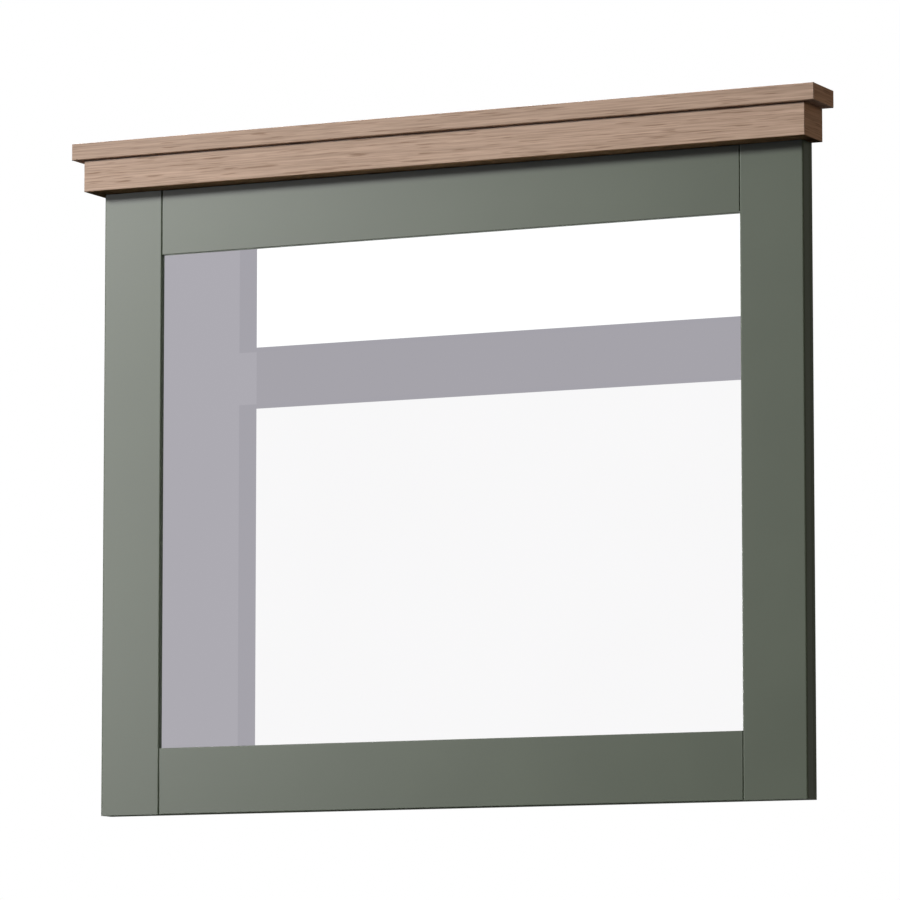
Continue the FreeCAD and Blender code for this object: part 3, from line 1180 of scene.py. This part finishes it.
@dataclass(frozen=True)
class PaleFloor(Finish):
    """Floor that looks pale and keeps a soft shadow.

    Reflections show it dimmer near the object and dimmest in a sector behind it. It is clear from below.
    """

    colour: Colour = (0.80, 0.80, 0.80)
    glow: float = 1.0
    near_share: float = 0.85
    near_span: Span = (5.0, 25.0)
    near_mirrored: float = 0.55
    mirrored_span: Span = (1.5, 14.0)
    dim: float = 0.03
    dim_turn: float = 26.0
    dim_half: float = 15.0
    dim_edge: float = 5.0

    def dress(self, sheet: NodeSheet) -> None:
        """Fill the node sheet.

        Args:
            sheet: The empty sheet.
        """
        place = sheet.place()
        length = sheet.node("ShaderNodeVectorMath", {"operation": "LENGTH"}, {0: place})
        away = sheet.value(length, "Value")
        share = sheet.between(sheet.smooth(away, *self.near_span), self.near_share, 1.0)
        at = sheet.node("ShaderNodeSeparateXYZ", None, {"Vector": place})
        turn = sheet.math("ARCTAN2", -1.0 * sheet.value(at, "X"), sheet.value(at, "Y"))
        off = sheet.math("ABSOLUTE", turn - math.radians(self.dim_turn))
        rim = (math.radians(self.dim_half + edge) for edge in (self.dim_edge, -self.dim_edge))
        sector = sheet.smooth(off, *rim)
        sent_on = sheet.sent_on()
        closeness = 1.0 - sheet.smooth(away, *self.mirrored_span)
        strength = self.glow - sent_on * closeness * (self.glow - self.near_mirrored)
        seen = sheet.math("MAXIMUM", sheet.ray("Is Camera Ray"), sent_on * sheet.before_matt())
        matt = sheet.value(sheet.node("ShaderNodeBsdfDiffuse", None, {"Color": (*self.colour, 1.0)}))
        pale = sheet.value(sheet.node("ShaderNodeEmission", None, {"Strength": strength}))
        dim = sheet.value(sheet.node("ShaderNodeEmission", None, {"Strength": self.dim}))
        top = sheet.blend(sent_on * sector, sheet.blend(seen * share, matt, pale), dim)
        below = sheet.value(sheet.node("ShaderNodeNewGeometry"), "Backfacing")
        clear = sheet.value(sheet.node("ShaderNodeBsdfTransparent"))
        sheet.node("ShaderNodeOutputMaterial", None, {"Surface": sheet.blend(below, top, clear)})


@dataclass(frozen=True)
class Glow(Finish):
    """Even light of a panel, which only reflections show."""

    colour: Colour

    def dress(self, sheet: NodeSheet) -> None:
        """Fill the node sheet.

        Args:
            sheet: The empty sheet.
        """
        sockets = {"Color": (*self.colour, 1.0), "Strength": sheet.before_matt()}
        light = sheet.value(sheet.node("ShaderNodeEmission", None, sockets))
        sheet.node("ShaderNodeOutputMaterial", None, {"Surface": light})


@dataclass
class LightPanel:
    """Light panel of two lit panes between broad pale bars, which the mirror looks at."""

    away: float = 5.0
    left: float = -3.6
    right: float = -0.9
    bottom: float = -1.2
    top: float = 1.7
    pane_left: float = -2.85
    bar_low: float = 0.484
    bar_high: float = 0.620
    rim_lines: tuple[float, ...] = (0.043, 0.075)
    bar_lines: tuple[float, ...] = (0.010, 0.030)
    glows: tuple[Glow, ...] = (
        Glow("panel_bar", (0.449, 0.432, 0.473)),
        Glow("panel_rim", (0.405, 0.390, 0.430)),
        Glow("panel_upper_pane", (1.15, 1.15, 1.15)),
        Glow("panel_lower_pane", (1.02, 1.005, 1.012)),
        Glow("panel_cross_bar", (0.409, 0.393, 0.431)),
    )

    def build(self) -> None:
        """Model the panel, which lights nothing but reflections."""
        work = Workpiece()
        low = Vector((self.left, -self.away, self.bottom))
        high = Vector((self.right, -self.away, self.top))
        work.sheet(low, high)
        for offset in (0.0, *self.rim_lines):
            work.cut(Axis.X, self.pane_left - offset)
        for offset in (0.0, *self.bar_lines):
            work.cut(Axis.Z, self.bar_high - offset)
            work.cut(Axis.Z, self.bar_low + offset)
        for face in work.mesh.faces:
            face.material_index = self.part_at(face.calc_center_median()).value
        panel = work.to_scene("light_panel", self.glows)
        panel.visible_camera = False
        panel.visible_diffuse = False
        panel.visible_shadow = False

    def part_at(self, point: Vector) -> PanelPart:
        """Part of the panel at a point.

        Args:
            point: Middle of a face.

        Returns:
            The part.
        """
        beside = self.pane_left - point.x
        if beside < 0.0:
            if point.z > self.bar_high:
                return PanelPart.UPPER_PANE
            if point.z < self.bar_low:
                return PanelPart.LOWER_PANE
        edge = self.bar_lines[0]
        in_bar = self.bar_low + edge < point.z < self.bar_high - edge
        if beside < self.rim_lines[0] and not in_bar:
            return PanelPart.RIM
        return PanelPart.CROSS_BAR if beside < 0.0 else PanelPart.UPRIGHT_BAR


@dataclass
class Softbox:
    """Rectangular lamp that faces a point.

    Its place is told in degrees to the left of straight ahead of the mirror, degrees up, and metres off.
    """

    name: str
    place: Triple
    size: Span
    power: float
    in_gloss: bool = True
    in_diffuse: bool = True
    colour: Colour = (1.0, 1.0, 1.0)
    target: Triple = (0.0, 0.0, -0.28)

    def build(self) -> None:
        """Make the lamp."""
        azimuth, elevation, distance = self.place
        left, up = math.radians(azimuth), math.radians(elevation)
        way = Vector((-math.sin(left) * math.cos(up), -math.cos(left) * math.cos(up), math.sin(up)))
        lamp = bpy.data.lights.new(self.name, "AREA")
        lamp.shape = "RECTANGLE"
        lamp.size, lamp.size_y = self.size
        lamp.energy = self.power
        lamp.color = self.colour
        holder = bpy.data.objects.new(self.name, lamp)
        holder.location = Vector(self.target) + way * distance
        holder.rotation_euler = (-way).to_track_quat("-Z", "Y").to_euler()
        holder.visible_camera = False
        holder.visible_glossy = self.in_gloss
        holder.visible_diffuse = self.in_diffuse
        bpy.context.scene.collection.objects.link(holder)


@dataclass
class Studio:
    """Floor, light and camera."""

    floor_height: float = -1.9
    floor_half: float = 40.0
    floor_cells: int = 8
    camera_place: Triple = (2.7418, -5.7348, -1.0019)
    camera_pitch: float = 6.596
    camera_yaw: float = 25.59
    camera_lens: float = 220.97
    camera_sensor: float = 36.0
    glow_from: Triple = (-0.62, -0.72, 0.31)
    glow_power: float = 1.5
    ambient: Span = (0.08, 0.38)
    mirrored: Span = (0.30, 1.18)
    sky_rise: Span = (-0.01, 0.09)
    sky_drop: float = 0.42
    low_rise: Span = (-0.25, 0.40)
    low_share: float = 0.06
    lamps: tuple[Softbox, ...] = (
        Softbox("key_lamp", (38.0, 20.5, 6.5), (1.8, 1.2), 395.0, in_gloss=False),
        Softbox("sheen_lamp", (37.0, 18.5, 6.0), (0.5, 1.0), 538.0, in_diffuse=False),
        Softbox("low_sheen_lamp", (36.0, 2.0, 6.0), (0.5, 0.6), 208.0, in_diffuse=False),
        Softbox("fill_lamp", (-97.0, 12.0, 4.0), (1.5, 1.5), 17.0, in_gloss=False,
                colour=(1.0, 0.84, 0.64)),
        Softbox("back_lamp", (150.0, 35.0, 4.0), (2.0, 2.0), 270.0),
    )
    panel: LightPanel = field(default_factory=LightPanel)

    def build(self) -> None:
        """Make the whole studio."""
        self.build_camera()
        self.build_floor()
        self.build_world()
        self.panel.build()
        for lamp in self.lamps:
            lamp.build()
        bpy.context.scene.view_settings.view_transform = "Standard"

    def build_camera(self) -> None:
        """Place the camera."""
        data = bpy.data.cameras.new("camera")
        data.lens = self.camera_lens
        data.sensor_width = self.camera_sensor
        camera = bpy.data.objects.new("camera", data)
        camera.location = self.camera_place
        turn = (90.0 + self.camera_pitch, 0.0, self.camera_yaw)
        camera.rotation_euler = tuple(math.radians(angle) for angle in turn)
        bpy.context.scene.collection.objects.link(camera)
        bpy.context.scene.camera = camera

    def build_floor(self) -> None:
        """Lay the floor."""
        work = Workpiece()
        bmesh.ops.create_grid(
            work.mesh, x_segments=self.floor_cells, y_segments=self.floor_cells, size=self.floor_half,
            matrix=Matrix.Translation((0.0, 0.0, self.floor_height)),
        )
        floor = work.to_scene("floor", [PaleFloor("pale_floor")])
        floor.visible_diffuse = False

    def build_world(self) -> None:
        """White behind everything, and a soft light that is strongest from the front left."""
        world = bpy.data.worlds.new("studio")
        world.use_nodes = True
        bpy.context.scene.world = world
        sheet = NodeSheet(world.node_tree)
        way = sheet.value(sheet.node("ShaderNodeTexCoord"), "Generated")
        sockets = {0: way, 1: self.glow_from}
        dot = sheet.node("ShaderNodeVectorMath", {"operation": "DOT_PRODUCT"}, sockets)
        facing = sheet.value(dot, "Value")
        share = sheet.math("ADD", facing * 0.5, 0.5, clamp=True) ** self.glow_power
        rise = sheet.value(sheet.node("ShaderNodeSeparateXYZ", None, {"Vector": way}), "Z")
        sky = 1.0 - sheet.smooth(rise, *self.sky_rise) * self.sky_drop
        above = sheet.between(sheet.smooth(rise, *self.low_rise), self.low_share, 1.0)
        ambient = sheet.between(share, *self.ambient) * above
        mirrored = sheet.between(share, *self.mirrored) * sky
        sent_on = sheet.sent_on() * sheet.before_matt()
        unseen = ambient + (mirrored - ambient) * sent_on
        strength = unseen + (1.0 - unseen) * sheet.ray("Is Camera Ray")
        sockets = {"Color": (1.0, 1.0, 1.0, 1.0), "Strength": strength}
        light = sheet.value(sheet.node("ShaderNodeBackground", None, sockets))
        sheet.node("ShaderNodeOutputWorld", None, {"Surface": light})


def main() -> None:
    """Build every sub-assembly and the studio."""
    logging.basicConfig(level=logging.INFO, format="%(message)s")
    PaintedFrame().build()
    RearBattens().build()
    GlazedPane().build()
    Cornice().build()
    Hangers().build()
    TurnButtons().build()
    WallPads().build()
    Studio().build()


if __name__ == "__main__":
    main()
